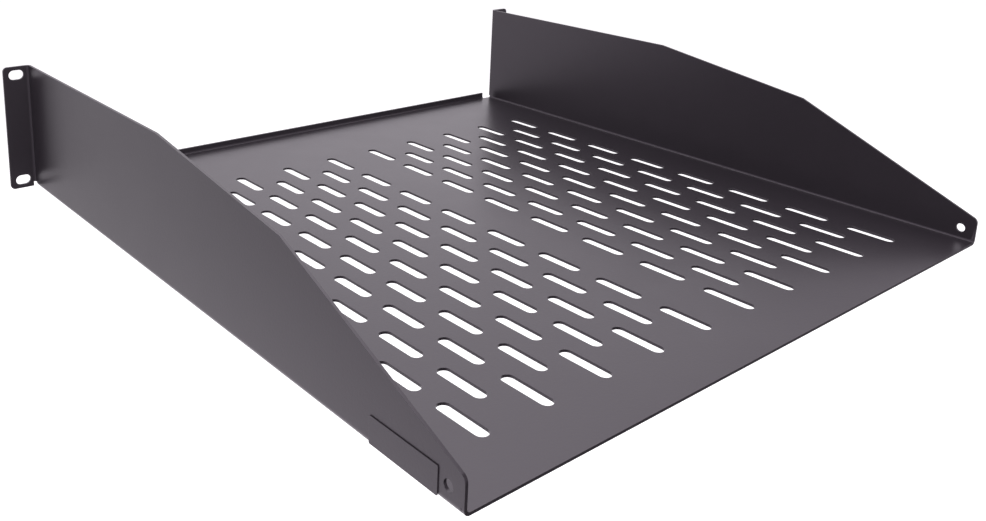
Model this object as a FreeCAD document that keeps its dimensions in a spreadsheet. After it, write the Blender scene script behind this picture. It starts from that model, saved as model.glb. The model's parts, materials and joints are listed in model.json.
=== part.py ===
"""Cantilever rack shelf, 2U high, folded from one perforated steel sheet.

Millimetres. X runs across the shelf, Y from the front face of the ears to the
rear edge, Z up. The sketches measure height from the tray's underside, which
is level with the ears' lower edges. The bodies are then lowered by half the
panel height, so that the row's origin is the middle of the four mounting
slots, in the front face of the ears.

The model follows the order in which the sheet takes its shape: the channel of
tray and side walls, the stepped top line of the walls, the ears turned out at
the front, the lip turned up between them, the reliefs at the corners where
the folds meet, and last everything that is punched.
"""
import FreeCAD
import Part
import Sketcher
import math
import os

Vector = FreeCAD.Vector
START, END, CENTRE = 1, 2, 3  # the points of a sketch line or arc
ORIGIN, X_AXIS, Y_AXIS = -1, -1, -2  # every sketch has these of its own

doc = FreeCAD.newDocument("cantilever_rack_shelf")

# ---------------------------------------------------------------- sizes
SIZES = {
    "panel_width": (482.6, "over the ears, 19 inch rack standard"),
    "panel_height": (88.1, "two rack units less the standard's clearance"),
    "hole_span": (465.1, "between the ears' slots across the rack, standard"),
    "hole_inset": (5.95, "from the ear's top and bottom to a slot's middle"),
    "ear_slot_length": (10.3, "end to end, across the rack"),
    "ear_slot_width": (6.8, "clears a rack screw"),
    "ear_corner": (3.0, "radius of the ears' outer corners"),
    "body_width": (448.0, "over the side walls, to pass a 450 opening"),
    "body_depth": (457.2, "18 inches from ear face to rear edge"),
    "gauge": (1.6, "16 gauge steel"),
    "bend_inside": (1.6, "inside radius of every fold"),
    "relief_depth": (5.0, "corner relief, back from the ear face"),
    "relief_side": (226.0, "outer side of the relief, from the centreline"),
    "first_break": (202.0, "the walls keep their full height to here"),
    "second_break": (328.5, "the walls' steep run starts here"),
    "second_height": (70.5, "wall height at the second break"),
    "rear_height": (17.0, "wall height at the rear edge"),
    "rear_corner": (4.0, "radius of the walls' rear top corners"),
    "lip_height": (6.4, "front lip, from the tray's underside"),
    "lip_length": (428.0, "stops short of both walls"),
    "vent_length": (32.0, "vent slot, end to end"),
    "vent_width": (7.5, "vent slot"),
    "vent_column": (20.15, "step from one column of slots to the next"),
    "vent_stagger": (22.75, "how far the next column is set back"),
    "vent_start": (90.5, "from the ear face to the first slots' middles"),
    "tie_hole": (5.6, "hole near the rear end of each wall"),
    "tie_hole_inset": (9.3, "from the rear edge"),
    "tie_hole_height": (9.0, "from the tray's underside"),
    "badge_length": (44.0, "blank stick-on plate"),
    "badge_height": (13.4, "blank stick-on plate"),
    "badge_thickness": (0.5, "blank stick-on plate"),
    "badge_corner": (0.8, "blank stick-on plate"),
    "badge_inset": (15.0, "from the rear edge to the plate"),
    "badge_foot": (1.2, "from the tray's underside to the plate"),
}

sheet = doc.addObject("Spreadsheet::Sheet", "Sizes")
for row, (alias, (value, note)) in enumerate(SIZES.items(), start=1):
    sheet.set(f"A{row}", alias)
    sheet.set(f"B{row}", str(value))
    sheet.set(f"C{row}", note)
    sheet.setAlias(f"B{row}", alias)
doc.recompute()

# First positions of sketch points; the sheet's formulas then set them exactly.
size = {alias: value for alias, (value, note) in SIZES.items()}
half_body = size["body_width"] / 2
gauge = size["gauge"]
inside = size["bend_inside"]
outside = inside + gauge
BEND_OUTSIDE = "Sizes.bend_inside + Sizes.gauge"


# ---------------------------------------------------------------- sketching
def plane_of(body, role):
    """One of a body's own origin planes."""
    return next(plane for plane in body.Origin.OriginFeatures if plane.Role == role)


def new_sketch(body, name, role, offset=None):
    """An empty sketch on an origin plane, lifted off it along its normal."""
    sketch = body.newObject("Sketcher::SketchObject", name)
    sketch.AttachmentSupport = (plane_of(body, role), "")
    sketch.MapMode = "FlatFace"
    if offset:
        sketch.setExpression(".AttachmentOffset.Base.z", offset)
    return sketch


def rule(sketch, kind, *items):
    """A geometric constraint, such as Tangent."""
    sketch.addConstraint(Sketcher.Constraint(kind, *items))


def as_drawn(sketch, kind, items):
    """What a dimension measures on the points as they were first placed."""
    if kind == "Radius":
        return sketch.Geometry[items[0]].Radius
    gap = sketch.getPoint(*items[2:]) - sketch.getPoint(*items[:2])
    return gap.x if kind == "DistanceX" else gap.y


def dimension(sketch, name, formula, kind, *items):
    """A named dimension that takes its value from the sheet."""
    first_value = as_drawn(sketch, kind, items)
    number = sketch.addConstraint(Sketcher.Constraint(kind, *items, first_value))
    sketch.renameConstraint(number, name)
    sketch.setExpression(f"Constraints.{name}", formula)


def outline(sketch, corners):
    """A closed outline, anticlockwise, through corners of (x, y, fold radius).

    A corner with a radius gets a tangent arc. Level and upright sides are held
    so. Returns the lines, each numbered as the corner it leaves, and the arcs
    by corner.
    """
    points = [Vector(x, y, 0) for x, y, radius in corners]
    count = len(corners)
    leave, arrive, arcs = {}, {}, {}
    for i, (x, y, radius) in enumerate(corners):
        here = points[i]
        back = (points[i - 1] - here).normalize()
        ahead = (points[(i + 1) % count] - here).normalize()
        half_angle = back.getAngle(ahead) / 2
        setback = radius / math.tan(half_angle)
        leave[i] = here + ahead * setback
        arrive[i] = here + back * setback
        if radius:
            centre = here + (back + ahead).normalize() * (radius / math.sin(half_angle))
            is_left_turn = back.cross(ahead).z < 0
            first, last = (arrive[i], leave[i]) if is_left_turn else (leave[i], arrive[i])
            first_angle = math.atan2(first.y - centre.y, first.x - centre.x)
            last_angle = math.atan2(last.y - centre.y, last.x - centre.x)
            circle = Part.Circle(centre, Vector(0, 0, 1), radius)
            bend = sketch.addGeometry(Part.ArcOfCircle(circle, first_angle, last_angle))
            arcs[i] = (bend, START, END) if is_left_turn else (bend, END, START)
    lines = []
    for i in range(count):
        following = (i + 1) % count
        side = sketch.addGeometry(Part.LineSegment(leave[i], arrive[following]))
        lines.append(side)
        if corners[i][1] == corners[following][1]:
            rule(sketch, "Horizontal", side)
        if corners[i][0] == corners[following][0]:
            rule(sketch, "Vertical", side)
    for i in range(count):
        if i in arcs:
            bend, bend_first, bend_last = arcs[i]
            rule(sketch, "Tangent", lines[i - 1], END, bend, bend_first)
            rule(sketch, "Tangent", bend, bend_last, lines[i], START)
        else:
            rule(sketch, "Coincident", lines[i - 1], END, lines[i], START)
    return lines, {i: bend for i, (bend, first, last) in arcs.items()}


def slot(sketch, name, lengthwise, length_cell, width_cell, across, up):
    """A round-ended slot along the sketch's x or y, its size named by two cells.

    across and up place its middle: each is a first value and its formula.
    """
    length, width = size[length_cell], size[width_cell]
    middle = Vector(across[0], up[0], 0)
    along = Vector(0, 1, 0) if lengthwise == "y" else Vector(1, 0, 0)
    aside = Vector(0, 0, 1).cross(along) * (width / 2)
    reach = along * ((length - width) / 2)
    heading = math.atan2(along.y, along.x)
    ends, sides = [], []
    for direction in (1, -1):
        turn = heading if direction > 0 else heading + math.pi
        circle = Part.Circle(middle + reach * direction, Vector(0, 0, 1), width / 2)
        half_circle = Part.ArcOfCircle(circle, turn - math.pi / 2, turn + math.pi / 2)
        ends.append(sketch.addGeometry(half_circle))
        first = middle + (reach + aside) * direction
        last = middle + (aside - reach) * direction
        sides.append(sketch.addGeometry(Part.LineSegment(first, last)))
    for end, side, next_end in ((0, 0, 1), (1, 1, 0)):
        rule(sketch, "Tangent", ends[end], END, sides[side], START)
        rule(sketch, "Tangent", sides[side], END, ends[next_end], START)
        rule(sketch, "Vertical" if lengthwise == "y" else "Horizontal", sides[side])
    half_reach = f"(Sizes.{length_cell} - Sizes.{width_cell}) / 2"
    x_formula, y_formula = across[1], up[1]
    if lengthwise == "y":
        y_formula += f" + {half_reach}"
    else:
        x_formula += f" + {half_reach}"
    far_end = (ends[0], CENTRE)
    dimension(sketch, f"{name}_x", x_formula, "DistanceX", ORIGIN, START, *far_end)
    dimension(sketch, f"{name}_y", y_formula, "DistanceY", ORIGIN, START, *far_end)
    dimension(sketch, f"{name}_radius", f"Sizes.{width_cell} / 2", "Radius", ends[0])
    between = "DistanceY" if lengthwise == "y" else "DistanceX"
    near_end = (ends[1], CENTRE)
    dimension(sketch, f"{name}_reach", f"2 * {half_reach}", between, *near_end, *far_end)


# ---------------------------------------------------------------- features
def pad(body, name, sketch, length, symmetric=False, backwards=False):
    """Thickens a sketch; backwards is against its normal."""
    feature = body.newObject("PartDesign::Pad", name)
    feature.Profile = sketch
    feature.SideType = "Symmetric" if symmetric else "One side"
    feature.Reversed = backwards
    feature.setExpression("Length", length)
    return feature


def pocket(body, name, sketch, length=None, along_normal=False):
    """Cuts a sketch out: right through both ways, or by a length from its plane."""
    feature = body.newObject("PartDesign::Pocket", name)
    feature.Profile = sketch
    if length is None:
        feature.SideType = "Symmetric"
        feature.Type = "ThroughAll"
    else:
        feature.Reversed = along_normal
        feature.setExpression("Length", length)
    return feature


def grid(body, name, original, sketch, columns, column_step, rows, row_step):
    """Repeats a cut along its sketch's x, then along its y."""
    feature = body.newObject("PartDesign::LinearPattern", name)
    feature.Originals = [original]
    feature.Direction = (sketch, ["H_Axis"])
    feature.Direction2 = (sketch, ["V_Axis"])
    feature.Mode = feature.Mode2 = "Spacing"
    feature.Occurrences = columns
    feature.Occurrences2 = rows
    feature.Spacings2 = [-1.0] * (rows - 1)  # -1 takes the common step, Offset2
    feature.setExpression("Offset", column_step)
    feature.setExpression("Offset2", row_step)
    body.Tip = feature
    return feature


def round_edges(body, name, radius, wanted):
    """Fillets those edges of the body's last feature that wanted() picks."""
    doc.recompute()
    base = body.Tip
    picked = [
        f"Edge{number}"
        for number, edge in enumerate(base.Shape.Edges, start=1)
        if wanted(edge)
    ]
    feature = body.newObject("PartDesign::Fillet", name)
    feature.Base = (base, picked)
    feature.setExpression("Radius", radius)
    return feature


# ---------------------------------------------------------------- the shelf
shelf = doc.addObject("PartDesign::Body", "shelf")

# The channel: tray and both side walls in one bent section, run back from the
# corner reliefs to the rear edge. Its plane's normal points to the front.
section = new_sketch(shelf, "channel_section", "XZ_Plane", "-Sizes.relief_depth")
height = size["panel_height"]
sides, bends = outline(section, [
    (-half_body, 0, outside),
    (half_body, 0, outside),
    (half_body, height, 0),
    (half_body - gauge, height, 0),
    (half_body - gauge, gauge, inside),
    (gauge - half_body, gauge, inside),
    (gauge - half_body, height, 0),
    (-half_body, height, 0),
])
floor_under, wall_out, _, wall_in, floor_top, far_in, _, far_out = sides
rule(section, "PointOnObject", floor_under, START, X_AXIS)
rule(section, "Symmetric", far_out, START, wall_out, END, Y_AXIS)
dimension(section, "width", "Sizes.body_width", "DistanceX", far_out, START, wall_out, END)
dimension(section, "height", "Sizes.panel_height", "DistanceY", ORIGIN, START, wall_out, END)
dimension(section, "wall", "Sizes.gauge", "DistanceX", wall_in, START, wall_out, END)
dimension(section, "far_wall", "Sizes.gauge", "DistanceX", far_out, START, far_in, END)
dimension(section, "floor", "Sizes.gauge", "DistanceY", floor_under, START, floor_top, START)
for corner in (0, 1):
    dimension(section, f"outside_{corner}", BEND_OUTSIDE, "Radius", bends[corner])
for corner in (4, 5):
    dimension(section, f"inside_{corner}", "Sizes.bend_inside", "Radius", bends[corner])
channel_length = "Sizes.body_depth - Sizes.relief_depth"
pad(shelf, "channel", section, channel_length, backwards=True)

# The walls' stepped top line: level, then down in two runs to the rear edge.
# The cut runs on past the metal by a clearance.
clearance = 10
steps = new_sketch(shelf, "wall_top_line", "YZ_Plane")
depth = size["body_depth"]
sides, _ = outline(steps, [
    (size["first_break"], height, 0),
    (size["second_break"], size["second_height"], 0),
    (depth, size["rear_height"], 0),
    (depth + clearance, size["rear_height"], 0),
    (depth + clearance, height + clearance, 0),
    (size["first_break"], height + clearance, 0),
])
BREAKS = [("first_break", "panel_height"), ("second_break", "second_height"),
          ("body_depth", "rear_height")]
for number, (across, up) in enumerate(BREAKS):
    corner = (sides[number], START)
    dimension(steps, f"y_{number}", f"Sizes.{across}", "DistanceX", ORIGIN, START, *corner)
    dimension(steps, f"z_{number}", f"Sizes.{up}", "DistanceY", ORIGIN, START, *corner)
beyond = (sides[3], END)
past_rear = f"Sizes.body_depth + {clearance}"
past_top = f"Sizes.panel_height + {clearance}"
dimension(steps, "past_rear", past_rear, "DistanceX", ORIGIN, START, *beyond)
dimension(steps, "past_top", past_top, "DistanceY", ORIGIN, START, *beyond)
pocket(shelf, "stepped_walls", steps)

# The ear and the strip of wall that it is folded from, drawn from above.
ear_plan = new_sketch(shelf, "ear_plan", "XY_Plane")
half_panel = size["panel_width"] / 2
sides, bends = outline(ear_plan, [
    (half_body - gauge, size["relief_depth"], 0),
    (half_body - gauge, 0, outside),
    (half_panel, 0, 0),
    (half_panel, gauge, 0),
    (half_body, gauge, inside),
    (half_body, size["relief_depth"], 0),
])
strip_in, ear_front, ear_tip, ear_back, strip_out, strip_end = sides
rule(ear_plan, "PointOnObject", ear_front, END, X_AXIS)
tip = (ear_front, END)
wall_line = (strip_out, END)
dimension(ear_plan, "tip", "Sizes.panel_width / 2", "DistanceX", ORIGIN, START, *tip)
dimension(ear_plan, "ear", "Sizes.gauge", "DistanceY", ear_tip, START, ear_tip, END)
dimension(ear_plan, "wall", "Sizes.body_width / 2", "DistanceX", ORIGIN, START, *wall_line)
dimension(ear_plan, "strip", "Sizes.gauge", "DistanceX", strip_in, START, *wall_line)
dimension(ear_plan, "back", "Sizes.relief_depth", "DistanceY", ORIGIN, START, *wall_line)
dimension(ear_plan, "fold_outside", BEND_OUTSIDE, "Radius", bends[1])
dimension(ear_plan, "fold_inside", "Sizes.bend_inside", "Radius", bends[4])
ear = pad(shelf, "ear", ear_plan, "Sizes.panel_height")

# The relief under the fold of the ear, where it meets the fold of the wall.
notch = new_sketch(shelf, "relief_plan", "XY_Plane")
notch_inner = half_body - 2 * gauge
sides, _ = outline(notch, [
    (notch_inner, -gauge, 0),
    (size["relief_side"], -gauge, 0),
    (size["relief_side"], size["relief_depth"], 0),
    (notch_inner, size["relief_depth"], 0),
])
front_left, back_right = (sides[0], START), (sides[1], END)
inner_x = "Sizes.body_width / 2 - 2 * Sizes.gauge"
dimension(notch, "inner", inner_x, "DistanceX", ORIGIN, START, *front_left)
dimension(notch, "front", "Sizes.gauge", "DistanceY", *front_left, ORIGIN, START)
dimension(notch, "outer", "Sizes.relief_side", "DistanceX", ORIGIN, START, *back_right)
dimension(notch, "back", "Sizes.relief_depth", "DistanceY", ORIGIN, START, *back_right)
relief = pocket(shelf, "relief", notch, BEND_OUTSIDE, along_normal=True)

far_ear = shelf.newObject("PartDesign::Mirrored", "far_ear")
far_ear.Originals = [ear, relief]
far_ear.MirrorPlane = (plane_of(shelf, "YZ_Plane"), [""])
shelf.Tip = far_ear

# The front lip, turned up from the tray between the reliefs.
lip_section = new_sketch(shelf, "lip_section", "YZ_Plane")
sides, bends = outline(lip_section, [
    (0, 0, outside),
    (size["relief_depth"], 0, 0),
    (size["relief_depth"], gauge, 0),
    (gauge, gauge, inside),
    (gauge, size["lip_height"], 0),
    (0, size["lip_height"], 0),
])
under, root, over, lip_back, lip_top, lip_front = sides
rule(lip_section, "PointOnObject", under, END, X_AXIS)
rule(lip_section, "PointOnObject", lip_front, START, Y_AXIS)
root_low, top_front = (under, END), (lip_front, START)
dimension(lip_section, "root", "Sizes.relief_depth", "DistanceX", ORIGIN, START, *root_low)
dimension(lip_section, "floor", "Sizes.gauge", "DistanceY", root, START, root, END)
dimension(lip_section, "lip", "Sizes.gauge", "DistanceX", *top_front, lip_top, START)
dimension(lip_section, "height", "Sizes.lip_height", "DistanceY", ORIGIN, START, *top_front)
dimension(lip_section, "fold_outside", BEND_OUTSIDE, "Radius", bends[0])
dimension(lip_section, "fold_inside", "Sizes.bend_inside", "Radius", bends[3])
pad(shelf, "front_lip", lip_section, "Sizes.lip_length", symmetric=True)


def runs_along(edge, axis):
    """True for a straight edge that lies along an axis."""
    direction = edge.tangentAt(edge.FirstParameter)
    return edge.Curve.TypeId == "Part::GeomLine" and direction.cross(axis).Length < 1e-6


def is_ear_corner(edge):
    at_tip = abs(abs(edge.CenterOfMass.x) - half_panel) < 1e-6
    return at_tip and runs_along(edge, Vector(0, 1, 0))


def is_rear_corner(edge):
    middle = edge.CenterOfMass
    at_rear = abs(middle.y - depth) < 1e-6 and abs(middle.z - size["rear_height"]) < 1e-6
    return at_rear and runs_along(edge, Vector(1, 0, 0))


round_edges(shelf, "ear_corners", "Sizes.ear_corner", is_ear_corner)
round_edges(shelf, "rear_corners", "Sizes.rear_corner", is_rear_corner)

# Punched: the ears' mounting slots, one drawn and repeated to the other three.
ear_slot = new_sketch(shelf, "ear_slot", "XZ_Plane")
slot(ear_slot, "slot", "x", "ear_slot_length", "ear_slot_width", (
    -size["hole_span"] / 2, "-Sizes.hole_span / 2",
), (
    size["hole_inset"], "Sizes.hole_inset",
))
first_ear_slot = pocket(shelf, "first_ear_slot", ear_slot, BEND_OUTSIDE)
rise = "Sizes.panel_height - 2 * Sizes.hole_inset"
grid(shelf, "ear_slots", first_ear_slot, ear_slot, 2, "Sizes.hole_span", 2, rise)

# A round hole near the rear end of each wall, punched through both at once.
tie_holes = new_sketch(shelf, "tie_hole", "YZ_Plane")
hole_middle = Vector(depth - size["tie_hole_inset"], size["tie_hole_height"], 0)
hole_circle = Part.Circle(hole_middle, Vector(0, 0, 1), size["tie_hole"] / 2)
hole = tie_holes.addGeometry(hole_circle)
hole_y = "Sizes.body_depth - Sizes.tie_hole_inset"
dimension(tie_holes, "y", hole_y, "DistanceX", ORIGIN, START, hole, CENTRE)
dimension(tie_holes, "z", "Sizes.tie_hole_height", "DistanceY", ORIGIN, START, hole, CENTRE)
dimension(tie_holes, "radius", "Sizes.tie_hole / 2", "Radius", hole)
pocket(shelf, "tie_holes", tie_holes)

# The vents: nine staggered columns of slots on each side of the centreline and
# none on it. The odd columns form one even grid right across the tray; the
# columns between them are two grids, left and right of the bare centre.


def vent_at(sketch, name, column, row):
    """A vent slot, in columns from the centreline and half rows from the front."""
    slot(sketch, name, "y", "vent_length", "vent_width", (
        column * size["vent_column"], f"{column} * Sizes.vent_column",
    ), (
        size["vent_start"] + row * size["vent_stagger"],
        f"Sizes.vent_start + {row} * Sizes.vent_stagger",
    ))


column_step = "2 * Sizes.vent_column"
row_step = "2 * Sizes.vent_stagger"

odd_vent = new_sketch(shelf, "odd_vent", "XY_Plane")
vent_at(odd_vent, "left", -9, 0)
first_odd_vent = pocket(shelf, "first_odd_vent", odd_vent, BEND_OUTSIDE, along_normal=True)
grid(shelf, "odd_vents", first_odd_vent, odd_vent, 10, column_step, 8, row_step)

even_vents = new_sketch(shelf, "even_vent", "XY_Plane")
vent_at(even_vents, "left", -8, 1)
vent_at(even_vents, "right", 2, 1)
first_even_vents = pocket(shelf, "first_even_vents", even_vents, BEND_OUTSIDE, along_normal=True)
grid(shelf, "even_vents", first_even_vents, even_vents, 4, column_step, 7, row_step)

# ---------------------------------------------------------------- the badge
# A thin blank plate stuck on the outer face of one wall, near the rear end.
badge_plate = doc.addObject("PartDesign::Body", "badge_plate")
face = new_sketch(badge_plate, "plate_face", "YZ_Plane", "Sizes.body_width / 2")
badge_rear = depth - size["badge_inset"]
badge_front = badge_rear - size["badge_length"]
badge_foot = size["badge_foot"]
badge_head = badge_foot + size["badge_height"]
sides, bends = outline(face, [
    (badge_front, badge_foot, size["badge_corner"]),
    (badge_rear, badge_foot, size["badge_corner"]),
    (badge_rear, badge_head, size["badge_corner"]),
    (badge_front, badge_head, size["badge_corner"]),
])
foot, rear, head, front = sides
badge_y = "Sizes.body_depth - Sizes.badge_inset"
dimension(face, "rear", badge_y, "DistanceX", ORIGIN, START, rear, START)
dimension(face, "foot", "Sizes.badge_foot", "DistanceY", ORIGIN, START, foot, START)
dimension(face, "length", "Sizes.badge_length", "DistanceX", front, START, rear, START)
dimension(face, "height", "Sizes.badge_height", "DistanceY", foot, START, head, START)
for corner, bend in bends.items():
    dimension(face, f"corner_{corner}", "Sizes.badge_corner", "Radius", bend)
pad(badge_plate, "plate", face, "Sizes.badge_thickness")

# ---------------------------------------------------------------- check and write
for node in (shelf, badge_plate):
    node.setExpression(".Placement.Base.z", "-Sizes.panel_height / 2")
doc.recompute()
for item in doc.Objects:
    if "Invalid" in item.State or "Error" in item.State:
        raise RuntimeError(f"{item.Label} is {item.State}")

os.makedirs("parts", exist_ok=True)
for node in (shelf, badge_plate):
    if node.Shape.isNull() or not node.Shape.isValid() or len(node.Shape.Solids) != 1:
        raise RuntimeError(f"{node.Label} is not one valid solid")
    node.Shape.exportStep(f"parts/{node.Label}.step")
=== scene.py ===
"""A cantilever shelf for a 19 inch rack, on a white studio ground.

The shelf is one steel sheet: punched flat, folded on a press brake and powder
coated satin black. A blank plate is stuck on one wall. Lengths are in metres,
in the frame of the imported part: X across, Y from the ears to the rear, Z up.
"""
import json
import math

import bmesh
import bpy
from mathutils import Matrix, Vector


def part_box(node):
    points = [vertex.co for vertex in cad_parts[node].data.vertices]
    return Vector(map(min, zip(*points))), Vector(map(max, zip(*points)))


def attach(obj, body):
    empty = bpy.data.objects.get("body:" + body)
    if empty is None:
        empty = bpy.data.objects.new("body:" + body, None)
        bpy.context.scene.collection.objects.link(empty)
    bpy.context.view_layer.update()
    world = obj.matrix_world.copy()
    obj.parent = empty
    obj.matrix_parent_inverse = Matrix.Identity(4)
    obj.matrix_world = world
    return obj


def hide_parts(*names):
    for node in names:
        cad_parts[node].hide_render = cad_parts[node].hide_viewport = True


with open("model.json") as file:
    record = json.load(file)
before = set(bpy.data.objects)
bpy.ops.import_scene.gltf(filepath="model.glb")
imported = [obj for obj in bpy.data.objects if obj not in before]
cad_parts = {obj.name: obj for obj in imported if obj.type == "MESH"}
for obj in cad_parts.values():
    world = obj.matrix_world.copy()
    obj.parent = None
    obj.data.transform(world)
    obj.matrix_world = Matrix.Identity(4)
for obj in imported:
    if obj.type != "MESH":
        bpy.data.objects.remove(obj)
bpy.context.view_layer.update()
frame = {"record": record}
MM = 0.001

# ------------------------------------------------------------------ the camera
# It stands behind the shelf's right rear corner, a little above the walls, and
# looks forward and slightly down across the tray.
camera_data = bpy.data.cameras.new("camera")
camera_data.sensor_width = 36
camera_data.lens = 36.54
camera_data.shift_x = 0.088
camera_data.shift_y = -0.175
camera_data.clip_start = 0.01
camera = bpy.data.objects.new("camera", camera_data)
HEADING, PITCH, ROLL = math.radians(140.64), math.radians(-13.95), math.radians(1.42)
camera.matrix_world = (
    Matrix.Translation((0.4502, 0.6926, 0.2028))
    @ Matrix.Rotation(HEADING, 4, "Z")
    @ Matrix.Rotation(math.pi / 2 + PITCH, 4, "X")
    @ Matrix.Rotation(ROLL, 4, "Z")
)
bpy.context.collection.objects.link(camera)
bpy.context.scene.camera = camera


# ------------------------------------------------------------------ powder coat
# Satin black polyester powder, sprayed on and baked. It flows out to a faint
# orange peel with a fine grain, and is thinner where it runs over a cut edge.
# There the rims are painted lighter, partly for that thin coat and partly as a
# painted glint, and the cut walls are painted a shade darker, as painted shade.
class Wire:
    """One output of a shader node, ready for sums."""

    def __init__(self, paint, socket):
        self.paint, self.socket = paint, socket

    def sum_with(self, operation, first, second):
        return self.paint.node("ShaderNodeMath", {"operation": operation}, {0: first, 1: second})

    def __add__(self, other):
        return self.sum_with("ADD", self, other)

    def __sub__(self, other):
        return self.sum_with("SUBTRACT", self, other)

    def __rsub__(self, other):
        return self.sum_with("SUBTRACT", other, self)

    def __mul__(self, other):
        return self.sum_with("MULTIPLY", self, other)

    __radd__, __rmul__ = __add__, __mul__


class Paint:
    """A material's or the world's node tree, built one node at a time."""

    def __init__(self, owner):
        owner.use_nodes = True
        self.tree = owner.node_tree
        self.tree.nodes.clear()

    def node(self, kind, settings=None, sockets=None, output=0):
        """A node with its settings, then its sockets. Returns one output."""
        made = self.tree.nodes.new(kind)
        for name, value in (settings or {}).items():
            setattr(made, name, value)
        for name, value in (sockets or {}).items():
            if isinstance(value, Wire):
                self.tree.links.new(value.socket, made.inputs[name])
            else:
                made.inputs[name].default_value = value
        return Wire(self, made.outputs[output]) if made.outputs else None

    def blend(self, factor, first, second):
        """A colour between two colours."""
        return self.node(
            "ShaderNodeMix", {"data_type": "RGBA"}, {0: factor, 6: first, 7: second}, output=2
        )

    def noise(self, place, scale, detail=2.0):
        return self.node(
            "ShaderNodeTexNoise", None, {"Vector": place, "Scale": scale, "Detail": detail}
        )


def powder_coat(name, cut_faces=False):
    """The coat. cut_faces reads two face attributes, 1 on cut walls and on rims."""
    material = bpy.data.materials.new(name)
    paint = Paint(material)
    place = paint.node("ShaderNodeTexCoord", output=3)
    cloud = paint.noise(place, 7.0)
    handling = paint.noise(place, 38.0, 4.0)
    peel = paint.noise(place, 620.0, 1.0)
    grain = paint.noise(place, 2100.0, 2.0)

    black = (0.0180, 0.0150, 0.0184, 1)
    worn_black = (0.0275, 0.0233, 0.0282, 1)
    colour = paint.blend(cloud * 0.6 + grain * 0.4, black, worn_black)
    roughness = 0.27 + handling * 0.06 + grain * 0.05
    if cut_faces:
        cut = paint.node("ShaderNodeAttribute", {"attribute_name": "cut_wall"}, output=2)
        rim = paint.node("ShaderNodeAttribute", {"attribute_name": "rim"}, output=2)
        # The rims are painted lighter in a broken line: partly a thinner, worn coat and partly a
        # painted glint.
        rim_wear_and_glint = rim * peel
        # The cut walls are painted a shade darker than the coat: painted shade, which darkens
        # the rear cut edges.
        colour = paint.blend(cut, colour, (0.0170, 0.0142, 0.0174, 1))
        colour = paint.blend(rim_wear_and_glint, colour, (0.085, 0.079, 0.086, 1))
        roughness = roughness - rim_wear_and_glint * 0.10
    bump = paint.node("ShaderNodeBump", None, {
        "Strength": 0.35, "Distance": 0.00012, "Height": peel * 0.6 + grain * 0.4,
    })
    coat = paint.node("ShaderNodeBsdfPrincipled", None, {
        "Base Color": colour, "Roughness": roughness, "Normal": bump, "IOR": 1.5,
        "Specular Tint": (0.95, 0.86, 0.98, 1),
    })
    paint.node("ShaderNodeOutputMaterial", None, {"Surface": coat})
    return material


# ------------------------------------------------------------------ the shelf
# One sheet of 1.6 mm steel. A turret punch cuts the blank with its vents and
# slots, a press brake folds up the walls and the front lip, and folds the ears
# out. The blank is built flat here as well, thick and with its cut edges
# eased, and every point of it is then carried round the folds.
shelf_low, shelf_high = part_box("shelf")
ear_slots = next(m for m in frame["record"]["mounts"] if m["name"] == "ear_slots")
GAUGE = 1.6 * MM
FOLD_INSIDE = 1.6 * MM
FOLD_OUTSIDE = FOLD_INSIDE + GAUGE
QUARTER = math.pi / 2

# Folded sizes; heights are above the tray's underside.
panel_half = shelf_high.x
panel_height = shelf_high.z - shelf_low.z
depth = shelf_high.y
wall_inside = 222.4 * MM
tray_half = wall_inside - FOLD_INSIDE
fold_end = wall_inside + FOLD_OUTSIDE  # where the ear's flat starts, across
LIP_HALF, LIP_HEIGHT = 214.0 * MM, 6.4 * MM
RELIEF_DEPTH, RELIEF_SIDE = 3.4 * MM, 225.2 * MM
WALL_BREAKS = ((202.0 * MM, panel_height), (328.5 * MM, 70.5 * MM))
REAR_HEIGHT, REAR_CORNER, EAR_CORNER = 17.0 * MM, 4.0 * MM, 3.0 * MM


def blank_up(height):
    """How far out on the flat blank a height of the wall or the ear lies."""
    return tray_half + FOLD_INSIDE * QUARTER + height - FOLD_OUTSIDE


def blank_ear(across):
    """How far forward on the flat blank a point of the ear's flat lies."""
    return FOLD_OUTSIDE - FOLD_OUTSIDE * QUARTER - (across - fold_end)


EAR_SIDE = (LIP_HALF + blank_up(0)) / 2  # on the blank, between the lip and the ear


def folded(point):
    """Where a point of the flat blank goes in the folded shelf.

    On the blank x is across, y back and z from the underside, 0, to the top
    side. The top side becomes the walls' inner faces and the ears' fronts.
    """
    side = math.copysign(1, point.x)
    beyond = abs(point.x) - tray_half
    sunk = GAUGE - point.z
    fold_radius = FOLD_INSIDE + sunk
    ahead = FOLD_OUTSIDE - point.y  # past the line where the front folds start
    by_ear = point.y < RELIEF_DEPTH / 2 and abs(point.x) > EAR_SIDE
    if beyond <= 0 and not by_ear:
        if ahead <= 0:
            return Vector(point)
        turn = min(ahead / FOLD_INSIDE, QUARTER)
        flat = max(ahead - FOLD_INSIDE * QUARTER, 0)
        y = FOLD_OUTSIDE - fold_radius * math.sin(turn)
        z = FOLD_OUTSIDE - fold_radius * math.cos(turn) + flat
        return Vector((point.x, y, z))
    if not by_ear:
        turn = min(beyond / FOLD_INSIDE, QUARTER)
        flat = max(beyond - FOLD_INSIDE * QUARTER, 0)
        x = tray_half + fold_radius * math.sin(turn)
        z = FOLD_OUTSIDE - fold_radius * math.cos(turn) + flat
    else:
        x = wall_inside + sunk
        z = FOLD_OUTSIDE + beyond - FOLD_INSIDE * QUARTER
    y = point.y
    if ahead > 0:
        turn = min(ahead / FOLD_OUTSIDE, QUARTER)
        flat = max(ahead - FOLD_OUTSIDE * QUARTER, 0)
        x = fold_end - (FOLD_OUTSIDE - sunk) * math.cos(turn) + flat
        y = FOLD_OUTSIDE - (FOLD_OUTSIDE - sunk) * math.sin(turn)
    return Vector((side * x, y, z))


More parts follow.
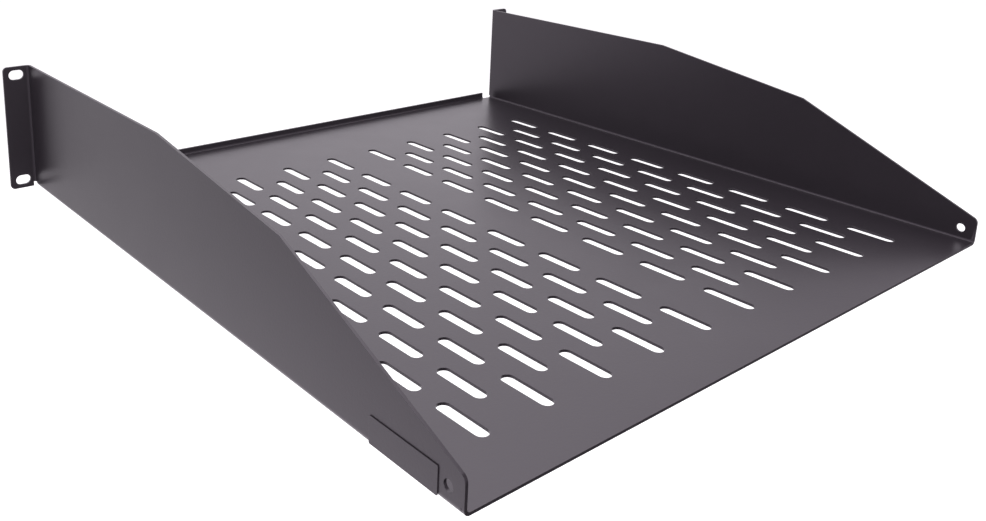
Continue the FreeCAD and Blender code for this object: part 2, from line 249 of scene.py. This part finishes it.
def rounded_line(corners, steps=6):
    """The points of a closed outline whose corners (x, y, radius) are rounded."""
    points = []
    for i, (x, y, radius) in enumerate(corners):
        here = Vector((x, y))
        if not radius:
            points.append(here)
            continue
        back = (Vector(corners[i - 1][:2]) - here).normalized()
        on = (Vector(corners[(i + 1) % len(corners)][:2]) - here).normalized()
        half_angle = back.angle(on) / 2
        middle = here + (back + on).normalized() * (radius / math.sin(half_angle))
        start = here + back * (radius / math.tan(half_angle)) - middle
        sweep = (math.pi - 2 * half_angle) * math.copysign(1, on.cross(back))
        for step in range(steps + 1):
            spoke = Matrix.Rotation(sweep * step / steps, 2) @ start
            points.append(middle + spoke)
    return points


half_outline = [
    (LIP_HALF, FOLD_OUTSIDE - FOLD_INSIDE * QUARTER - (LIP_HEIGHT - FOLD_OUTSIDE), 0),
    (LIP_HALF, RELIEF_DEPTH, 0),
    (blank_up(FOLD_OUTSIDE), RELIEF_DEPTH, 0),
    (blank_up(FOLD_OUTSIDE), blank_ear(RELIEF_SIDE), 0),
    (blank_up(0), blank_ear(RELIEF_SIDE), 0),
    (blank_up(0), blank_ear(panel_half), EAR_CORNER),
    (blank_up(panel_height), blank_ear(panel_half), EAR_CORNER),
    *((blank_up(height), back, 0) for back, height in WALL_BREAKS),
    (blank_up(REAR_HEIGHT), depth, REAR_CORNER),
]
other_half = [(-x, y, radius) for x, y, radius in reversed(half_outline)]
outline_data = bpy.data.curves.new("blank_outline", "CURVE")
outline_data.dimensions = "3D"
outline = rounded_line(half_outline + other_half)
edge_line = outline_data.splines.new("POLY")
edge_line.points.add(len(outline) - 1)
for spot, corner in zip(edge_line.points, outline):
    spot.co = (corner.x, corner.y, 0, 1)
edge_line.use_cyclic_u = True
blank = bpy.data.objects.new("blank", outline_data)
bpy.context.collection.objects.link(blank)


class Punch:
    """A Geometry Nodes tree with named sizes, built one node at a time."""

    def __init__(self, name, sizes):
        self.tree = bpy.data.node_groups.new(name, "GeometryNodeTree")
        face = self.tree.interface
        face.new_socket("Geometry", in_out="OUTPUT", socket_type="NodeSocketGeometry")
        face.new_socket("Geometry", in_out="INPUT", socket_type="NodeSocketGeometry")
        self.identifiers = {}
        for size_name in sizes:
            socket = face.new_socket(size_name, in_out="INPUT", socket_type="NodeSocketFloat")
            self.identifiers[size_name] = socket.identifier
        self.inputs = self.tree.nodes.new("NodeGroupInput").outputs

    def node(self, kind, settings=None, sockets=None, output=0):
        """A node with its settings, then its sockets. Returns one output."""
        made = self.tree.nodes.new(kind)
        for name, value in (settings or {}).items():
            setattr(made, name, value)
        for name, value in (sockets or {}).items():
            for source in value if isinstance(value, list) else [value]:
                if isinstance(source, bpy.types.NodeSocket):
                    self.tree.links.new(source, made.inputs[name])
                else:
                    made.inputs[name].default_value = source
        return made.outputs[output] if made.outputs else None

    def slot(self, length, width):
        """The outline of a round-ended slot, its length along x."""
        sheet_hole = self.node(
            "GeometryNodeCurvePrimitiveQuadrilateral", None, {"Width": length, "Height": width}
        )
        half_width = self.node(
            "ShaderNodeMath", {"operation": "MULTIPLY"}, {0: width, 1: 0.4999}
        )
        return self.node("GeometryNodeFilletCurve", {"mode": "POLY"}, {
            "Curve": sheet_hole, "Radius": half_width, "Count": 5,
        })

    def grid(self, shape, columns, rows, column_step, row_step, middle, turned=False):
        """Copies of a shape on a grid about a middle, which may be turned by 90."""
        span = self.node("ShaderNodeMath", {"operation": "MULTIPLY"}, {
            0: column_step, 1: float(columns - 1),
        })
        rise = self.node("ShaderNodeMath", {"operation": "MULTIPLY"}, {
            0: row_step, 1: float(rows - 1),
        })
        points = self.node("GeometryNodeMeshGrid", None, {
            "Size X": span, "Size Y": rise, "Vertices X": columns, "Vertices Y": rows,
        })
        placed = self.node("GeometryNodeTransform", None, {
            "Geometry": points, "Translation": middle,
        })
        return self.node("GeometryNodeInstanceOnPoints", None, {
            "Points": placed, "Instance": shape,
            "Rotation": (0, 0, QUARTER if turned else 0),
        })


# The vents stand in staggered columns, nine each side of a bare middle column.
sizes = {
    "Vent length": 32.0 * MM,
    "Vent width": 7.5 * MM,
    "Column step": 40.3 * MM,
    "Row step": 45.5 * MM,
    "First row": 90.5 * MM,
    "Ear slot length": ear_slots["dims"]["slot_length_mm"] * MM,
    "Ear slot width": 2 * ear_slots["dims"]["hole_r_mm"] * MM,
    "Tie hole radius": 2.8 * MM,
    "Gauge": GAUGE,
}
punch = Punch("punched_blank", sizes)
given = punch.inputs


def first_row_plus(rows):
    """The middle of the vents' field, this many rows behind the first."""
    back = punch.node("ShaderNodeMath", {"operation": "MULTIPLY_ADD"}, {
        0: given["Row step"], 1: rows, 2: given["First row"],
    })
    return punch.node("ShaderNodeCombineXYZ", None, {"Y": back})


vent = punch.slot(given["Vent length"], given["Vent width"])
steps = (given["Column step"], given["Row step"])
odd_columns = punch.grid(vent, 10, 8, *steps, first_row_plus(3.5), turned=True)
even_columns = punch.grid(vent, 9, 7, *steps, first_row_plus(3.5), turned=True)
across = punch.node("ShaderNodeSeparateXYZ", None, {
    "Vector": punch.node("GeometryNodeInputPosition"),
})
is_middle = punch.node("FunctionNodeCompare", {"operation": "EQUAL"}, {
    "A": across, "B": 0.0, "Epsilon": MM,
})
even_columns = punch.node("GeometryNodeDeleteGeometry", {"domain": "INSTANCE"}, {
    "Geometry": even_columns, "Selection": is_middle,
})

ear_slot = punch.slot(given["Ear slot length"], given["Ear slot width"])
slot_span_x = ear_slots["dims"]["spacing_x_mm"] * MM
slot_rise = ear_slots["dims"]["spacing_y_mm"] * MM
slot_ahead = blank_ear(slot_span_x / 2)
ear_holes = [
    punch.grid(ear_slot, 2, 1, slot_rise, 0.0, (
        side * (blank_up(panel_height / 2)), slot_ahead, 0,
    ), turned=True)
    for side in (-1, 1)
]
TIE_HEIGHT, TIE_INSET = 9.0 * MM, 9.3 * MM
tie_hole = punch.node("GeometryNodeCurvePrimitiveCircle", {"mode": "RADIUS"}, {
    "Resolution": 24, "Radius": given["Tie hole radius"],
})
tie_holes = punch.grid(
    tie_hole, 2, 1, 2 * blank_up(TIE_HEIGHT), 0.0, (0, depth - TIE_INSET, 0)
)
cuts = punch.node("GeometryNodeJoinGeometry", None, {
    0: [given["Geometry"], odd_columns, even_columns, *ear_holes, tie_holes],
})
sheet_face = punch.node("GeometryNodeFillCurve", {"mode": "TRIANGLES"}, {
    "Curve": punch.node("GeometryNodeRealizeInstances", None, {0: cuts}),
})
raised = punch.node("GeometryNodeExtrudeMesh", None, {
    "Mesh": sheet_face, "Offset Scale": given["Gauge"], "Individual": False,
})
thick = punch.node("GeometryNodeMergeByDistance", None, {
    "Geometry": punch.node("GeometryNodeJoinGeometry", None, {
        0: [punch.node("GeometryNodeFlipFaces", None, {0: sheet_face}), raised],
    }),
    "Distance": 0.001 * MM,
})
coat = powder_coat("shelf_powder_coat", cut_faces=True)
punch.node("NodeGroupOutput", None, {
    0: punch.node("GeometryNodeSetMaterial", None, {"Geometry": thick, "Material": coat}),
})

press = blank.modifiers.new("punched_blank", "NODES")
press.node_group = punch.tree
for size_name, value in sizes.items():
    press[punch.identifiers[size_name]] = value
bpy.context.view_layer.update()
blank_mesh = bpy.data.meshes.new_from_object(
    blank.evaluated_get(bpy.context.evaluated_depsgraph_get())
)
bpy.data.objects.remove(blank)

sheet = bmesh.new()
sheet.from_mesh(blank_mesh)
bmesh.ops.recalc_face_normals(sheet, faces=sheet.faces)


def is_cut_rim(edge):
    """True where a cut wall of the blank meets its top or bottom side."""
    lying = [abs(face.normal.z) > 0.5 for face in edge.link_faces]
    return len(lying) == 2 and lying[0] != lying[1]


# Punching and deburring leave the rims slightly rounded under the coat.
EASED = 0.20 * MM
rims = [edge for edge in sheet.edges if is_cut_rim(edge)]
bmesh.ops.bevel(
    sheet, geom=rims, offset=EASED, offset_type="OFFSET", segments=2, profile=0.5,
    affect="EDGES", clamp_overlap=True,
)
cut_wall = sheet.faces.layers.float.new("cut_wall")
rim_face = sheet.faces.layers.float.new("rim")
for face in sheet.faces:
    lying = abs(face.normal.z)
    face[cut_wall] = 1.0 if lying < 0.01 else 0.0
    face[rim_face] = 1.0 if 0.01 < lying < 0.999 else 0.0


def crease(faces, start, across_blank, direction, radius):
    """Cuts the blank's faces along a fold, so that it can turn in small steps."""
    turns = [QUARTER * step / 8 for step in range(9)]
    guard = 0.6 * MM
    distances = [-guard, *(radius * turn for turn in turns), radius * QUARTER + guard]
    for distance in distances:
        touched = [face for face in faces() if face.is_valid]
        edges = {edge for face in touched for edge in face.edges}
        points = {point for edge in edges for point in edge.verts}
        bmesh.ops.bisect_plane(
            sheet, geom=[*touched, *edges, *points], dist=1e-7,
            plane_co=start + direction * distance, plane_no=across_blank,
        )


def faces_where(wanted):
    return lambda: [face for face in sheet.faces if wanted(face.calc_center_bounds())]


for side in (-1, 1):
    crease(
        faces_where(lambda middle: middle.y > 0),
        Vector((side * tray_half, 0, 0)), Vector((1, 0, 0)), Vector((side, 0, 0)), FOLD_INSIDE,
    )
    crease(
        faces_where(lambda middle: middle.x * side > EAR_SIDE),
        Vector((0, FOLD_OUTSIDE, 0)), Vector((0, 1, 0)), Vector((0, -1, 0)), FOLD_OUTSIDE,
    )
crease(
    faces_where(lambda middle: abs(middle.x) < EAR_SIDE),
    Vector((0, FOLD_OUTSIDE, 0)), Vector((0, 1, 0)), Vector((0, -1, 0)), FOLD_INSIDE,
)

for point in sheet.verts:
    point.co = folded(point.co) + Vector((0, 0, shelf_low.z))
for face in sheet.faces:
    face.smooth = True
shelf_mesh = bpy.data.meshes.new("folded_shelf")
sheet.to_mesh(shelf_mesh)
sheet.free()
shelf_mesh.materials.append(coat)
shelf = bpy.data.objects.new("folded_shelf", shelf_mesh)
bpy.context.collection.objects.link(shelf)
weighting = shelf.modifiers.new("flat_sides_stay_flat", "WEIGHTED_NORMAL")
weighting.weight = 50
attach(shelf, "root")
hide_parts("shelf")

# ------------------------------------------------------------------ the plate
# A thin blank plate near the rear end of one wall, stuck on after the coating.
# It is moulded, with softly rounded edges.
plate_low, plate_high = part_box("badge_plate")
PLATE_CORNER, PLATE_EASED = 0.8 * MM, 0.15 * MM
plate = bmesh.new()
plate_line = rounded_line([
    (plate_low.y, plate_low.z, PLATE_CORNER),
    (plate_high.y, plate_low.z, PLATE_CORNER),
    (plate_high.y, plate_high.z, PLATE_CORNER),
    (plate_low.y, plate_high.z, PLATE_CORNER),
])
back = plate.faces.new([plate.verts.new((plate_low.x, p.x, p.y)) for p in plate_line])
raised_part = bmesh.ops.extrude_face_region(plate, geom=[back], use_keep_orig=True)["geom"]
for item in raised_part:
    if isinstance(item, bmesh.types.BMVert):
        item.co.x = plate_high.x
bmesh.ops.recalc_face_normals(plate, faces=plate.faces)
plate_rims = [
    edge for edge in plate.edges
    if {round(abs(face.normal.x)) for face in edge.link_faces} == {0, 1}
]
bmesh.ops.bevel(
    plate, geom=plate_rims, offset=PLATE_EASED, offset_type="OFFSET", segments=3,
    profile=0.5, affect="EDGES",
)
for face in plate.faces:
    face.smooth = True
plate_mesh = bpy.data.meshes.new("blank_plate")
plate.to_mesh(plate_mesh)
plate.free()
plate_mesh.materials.append(powder_coat("plate_black"))
plate_piece = bpy.data.objects.new("blank_plate", plate_mesh)
bpy.context.collection.objects.link(plate_piece)
plate_piece.modifiers.new("flat_sides_stay_flat", "WEIGHTED_NORMAL")
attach(plate_piece, "root")
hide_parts("badge_plate")

# ------------------------------------------------------------------ the studio
# A white sweep ahead of the camera: a pale floor well below the shelf, which
# hangs in a rack in use, and a white surround. The room behind is dimmer.
FLOOR_DROP, FLOOR_FAR, FLOOR_NEAR, FLOOR_HALF = 0.75, -30.0, 0.7, 30.0
floor_mesh = bpy.data.meshes.new("floor")
floor_z = shelf_low.z - FLOOR_DROP
floor_mesh.from_pydata([
    (-FLOOR_HALF, FLOOR_FAR, floor_z), (FLOOR_HALF, FLOOR_FAR, floor_z),
    (FLOOR_HALF, FLOOR_NEAR, floor_z), (-FLOOR_HALF, FLOOR_NEAR, floor_z),
], [], [(0, 1, 2, 3)])
floor = bpy.data.objects.new("floor", floor_mesh)
bpy.context.collection.objects.link(floor)
floor_material = bpy.data.materials.new("pale_floor")
floor_mesh.materials.append(floor_material)


def ray_kind(paint, name):
    """1 for a ray of that kind, such as Is Camera Ray."""
    flag = paint.node("ShaderNodeLightPath")
    return Wire(paint, flag.socket.node.outputs[name])


floor_paint = Paint(floor_material)
FLOOR_WHITE, ROOM_TINT = 0.6, (1.0, 0.94, 1.02, 1)
# In glossy and transmission rays the floor glows brighter in a pool round the shelf: a painted
# pool of light, which the coat reflects.
spot = floor_paint.node("ShaderNodeVectorMath", {"operation": "LENGTH"}, {
    0: floor_paint.node("ShaderNodeTexCoord", output=3),
}, output=1)
painted_light_pool = floor_paint.node("ShaderNodeMapRange", {"interpolation_type": "SMOOTHSTEP"}, {
    "Value": spot, "From Min": 2.2, "From Max": 0.8,
})
by_camera = ray_kind(floor_paint, "Is Camera Ray")
seen = by_camera + (painted_light_pool * 1.05 + 0.25) * (
    ray_kind(floor_paint, "Is Glossy Ray") + ray_kind(floor_paint, "Is Transmission Ray")
)
matt = floor_paint.node("ShaderNodeBsdfDiffuse", None, {"Color": (0.85, 0.85, 0.85, 1)})
glow = floor_paint.node("ShaderNodeEmission", None, {
    "Color": floor_paint.blend(by_camera, ROOM_TINT, (1, 1, 1, 1)),
    "Strength": seen * FLOOR_WHITE,
})
floor_paint.node("ShaderNodeOutputMaterial", None, {
    "Surface": floor_paint.node("ShaderNodeAddShader", None, {0: matt, 1: glow}),
})

DIM_ROOM = 0.5
world = bpy.data.worlds.new("white_surround")
bpy.context.scene.world = world
surround = Paint(world)
direction = surround.node("ShaderNodeTexCoord")
ahead_of_camera = surround.node("ShaderNodeMapRange", {"interpolation_type": "SMOOTHSTEP"}, {
    "Value": surround.node("ShaderNodeSeparateXYZ", None, {"Vector": direction}, output=1),
    "From Min": 0.5, "From Max": -0.3,
})
under_camera = surround.node("ShaderNodeMapRange", {"interpolation_type": "SMOOTHSTEP"}, {
    "Value": surround.node("ShaderNodeSeparateXYZ", None, {"Vector": direction}, output=2),
    "From Min": -0.1, "From Max": -0.45,
})
sweep = ahead_of_camera - under_camera * (1 - ahead_of_camera)
camera_ray = ray_kind(surround, "Is Camera Ray")
shown = camera_ray + sweep * (
    ray_kind(surround, "Is Glossy Ray") + ray_kind(surround, "Is Transmission Ray")
)
surround.node("ShaderNodeOutputWorld", None, {
    "Surface": surround.node("ShaderNodeBackground", None, {
        "Color": surround.blend(camera_ray, ROOM_TINT, (1, 1, 1, 1)),
        "Strength": shown * (1 - DIM_ROOM) + DIM_ROOM,
    }),
})


def soft_lamp(name, place, aim, size, power):
    lamp_data = bpy.data.lights.new(name, "AREA")
    lamp_data.shape = "DISK"
    lamp_data.size = size
    lamp_data.energy = power
    lamp = bpy.data.objects.new(name, lamp_data)
    lamp.location = place
    lamp.rotation_euler = (Vector(aim) - Vector(place)).to_track_quat("-Z", "Y").to_euler()
    bpy.context.collection.objects.link(lamp)


shelf_middle = (shelf_low + shelf_high) / 2
soft_lamp("overhead", (-0.45, -0.55, 2.2), shelf_middle, 2.8, 30)
soft_lamp("fill", (2.4, 1.1, 0.5), shelf_middle, 1.4, 6)
soft_lamp("front", (-1.5, -1.6, 1.5), shelf_middle, 2.6, 7)
soft_lamp("side", (1.7, -1.9, -0.1), shelf_middle, 1.2, 3.5)
soft_lamp("back", (0.6, 2.2, 0.9), shelf_middle, 1.5, 34)
bpy.context.scene.view_settings.view_transform = "Standard"
